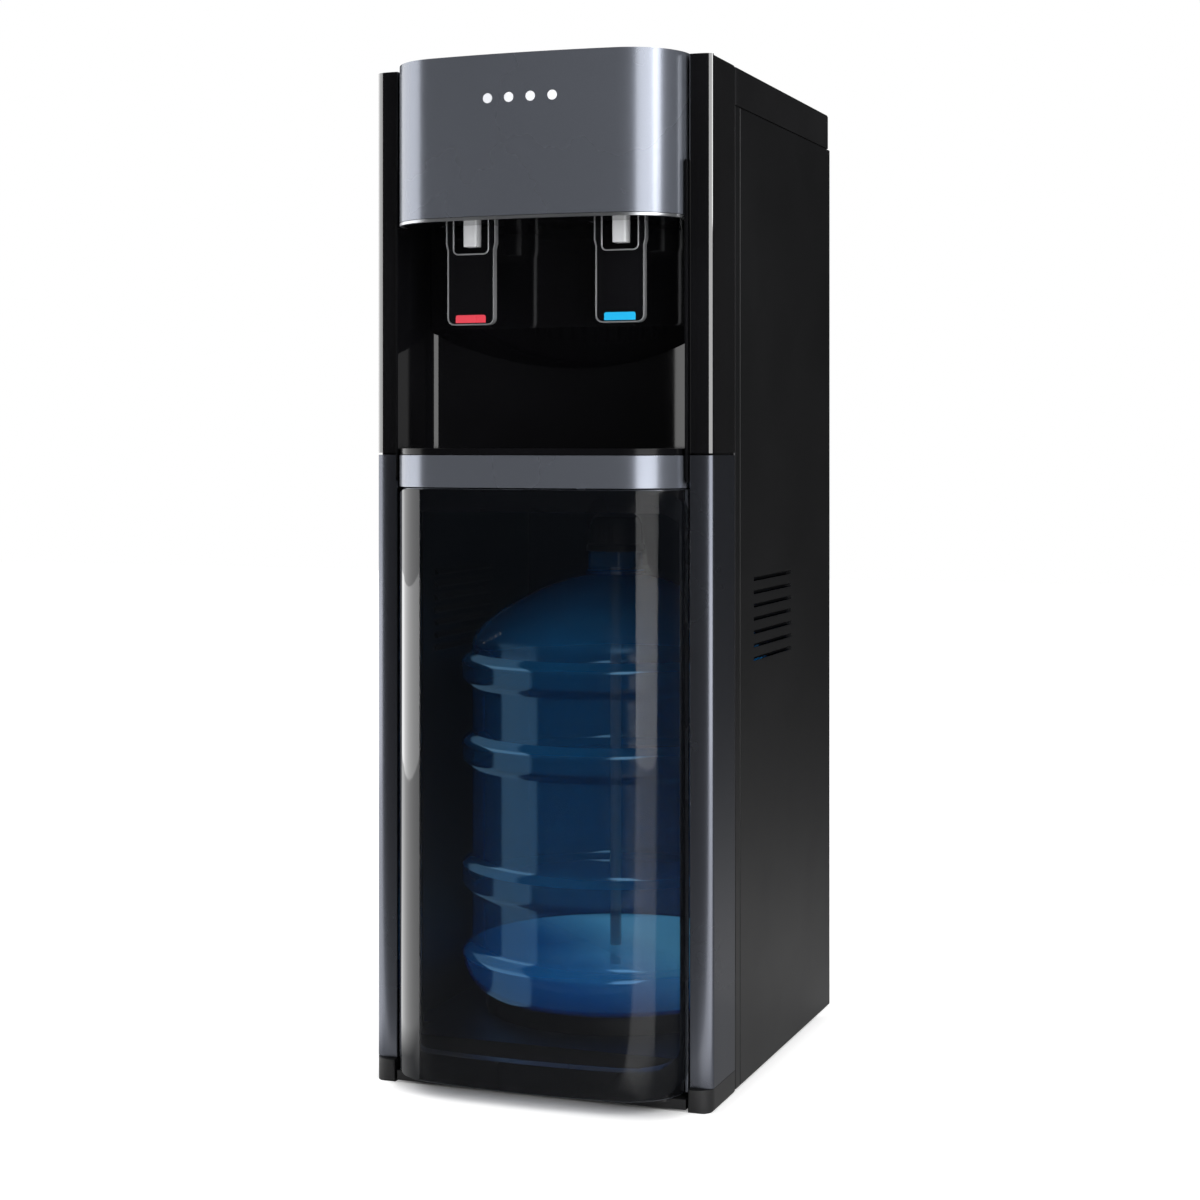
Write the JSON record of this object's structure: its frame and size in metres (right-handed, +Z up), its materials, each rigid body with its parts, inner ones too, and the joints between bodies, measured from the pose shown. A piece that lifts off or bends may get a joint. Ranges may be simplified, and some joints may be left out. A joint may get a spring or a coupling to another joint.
{
  "type": "bottom load water cooler",
  "caption": "Tall free-standing water cooler: bowed control panel over a niche with two push levers, lift-out drip tray, and a smoked hinged door in front of a large water bottle.",
  "frame": {"origin": "on the floor, under the middle of the bounding box", "axes": "+Z up along the cabinet's height, the front faces -Y, +X is to the right of someone who looks at the front"},
  "size_m": [0.35, 0.492, 1.002],
  "materials": {
    "satin_black_plastic": "satin",
    "rubber_black": "matte",
    "satin_black_steel": "satin",
    "zinc_sheet": "satin",
    "steel_hardware": "satin",
    "gunmetal_plastic": "satin",
    "gloss_black_plastic": "gloss",
    "chrome_trim": "polished",
    "white_lens": "gloss",
    "circuit_board": "satin",
    "white_plastic": "gloss",
    "red_plastic": "gloss",
    "blue_plastic": "gloss",
    "green_plastic": "gloss",
    "smoked_window": "gloss",
    "blue_bottle": "gloss",
    "clear_tube": "satin",
    "insulation": "matte",
    "stainless_tank": "satin",
    "black_paint": "satin"
  },
  "bodies": {
    "cabinet": {"base_tray": "satin_black_plastic", "front_foot_left": "satin_black_plastic", "front_foot_right": "satin_black_plastic", "top_cover": "satin_black_plastic", "tap_valve_hot": "satin_black_plastic", "tap_valve_cold": "satin_black_plastic", "door_catch": "satin_black_plastic", "service_cover": "satin_black_plastic", "power_inlet": "satin_black_plastic", "probe_cap": "satin_black_plastic", "rear_foot_left": "rubber_black", "rear_foot_right": "rubber_black", "side_panel_left": "satin_black_steel", "side_panel_right": "satin_black_steel", "rear_panel": "satin_black_steel", "mid_shelf": "satin_black_steel", "tank_deck": "zinc_sheet", "hinge_upper": "steel_hardware", "hinge_lower": "steel_hardware", "lever_pin_hot": "steel_hardware", "lever_pin_cold": "steel_hardware", "pillar_lower_left": "gunmetal_plastic", "pillar_lower_right": "gunmetal_plastic", "control_panel": "gunmetal_plastic", "fascia_band": "gunmetal_plastic", "pillar_upper_left": "gloss_black_plastic", "pillar_upper_right": "gloss_black_plastic", "niche_liner": "gloss_black_plastic", "tap_housing": "gloss_black_plastic", "panel_lip": "chrome_trim", "indicator_lens_1": "white_lens", "indicator_lens_2": "white_lens", "indicator_lens_3": "white_lens", "indicator_lens_4": "white_lens", "control_board": "circuit_board", "spout_hot": "white_plastic", "spout_cold": "white_plastic", "pump": "white_plastic", "bottle": "blue_bottle", "probe_tube": "clear_tube", "suction_hose": "clear_tube", "cold_tank": "insulation", "hot_tank": "stainless_tank", "compressor": "black_paint", "condenser": "black_paint"},
    "door": {"door_frame": "gunmetal_plastic", "door_window": "smoked_window", "door_strike": "steel_hardware"},
    "hot_lever": {"lever_hot": "gloss_black_plastic", "lever_rim_hot": "chrome_trim", "lever_tab_hot": "red_plastic"},
    "cold_lever": {"lever_cold": "gloss_black_plastic", "lever_rim_cold": "chrome_trim", "lever_tab_cold": "blue_plastic"},
    "tray": {"drip_tray": "gloss_black_plastic"},
    "grille": {"drip_grille": "satin_black_plastic"},
    "hot_switch": {"rocker_hot": "red_plastic"},
    "cold_switch": {"rocker_cold": "green_plastic"},
    "drain_plug": {"drain_cap": "white_plastic"}
  },
  "joints": [
    {"name": "door_hinge", "type": "hinge", "parent": "cabinet", "child": "door", "pos_m": [0.13, -0.208, 0.3], "axis": [0, 0, 1], "range_deg": [0, 105]},
    {"name": "hot_lever_push", "type": "hinge", "parent": "cabinet", "child": "hot_lever", "pos_m": [-0.078, -0.177, 0.872], "axis": [1, 0, 0], "range_deg": [0, 9], "stiffness_Nm_per_rad": 1.5, "springref_deg": -2.86},
    {"name": "cold_lever_push", "type": "hinge", "parent": "cabinet", "child": "cold_lever", "pos_m": [0.078, -0.177, 0.872], "axis": [1, 0, 0], "range_deg": [0, 9], "stiffness_Nm_per_rad": 1.5, "springref_deg": -2.86},
    {"name": "tray_lift", "type": "slide", "parent": "cabinet", "child": "tray", "axis": [0, 0, 1], "range_m": [0, 0.055]},
    {"name": "grille_lift", "type": "slide", "parent": "tray", "child": "grille", "axis": [0, 0, 1], "range_m": [0, 0.025]},
    {"name": "hot_switch_rock", "type": "hinge", "parent": "cabinet", "child": "hot_switch", "pos_m": [0.118, 0.237, 0.905], "axis": [1, 0, 0], "range_deg": [0, 14]},
    {"name": "cold_switch_rock", "type": "hinge", "parent": "cabinet", "child": "cold_switch", "pos_m": [0.084, 0.237, 0.905], "axis": [1, 0, 0], "range_deg": [0, 14]},
    {"name": "drain_plug_turn", "type": "hinge", "parent": "cabinet", "child": "drain_plug", "pos_m": [0, 0.2345, 0.8], "axis": [0, 1, 0], "range_deg": [0, 1080]}
  ]
}
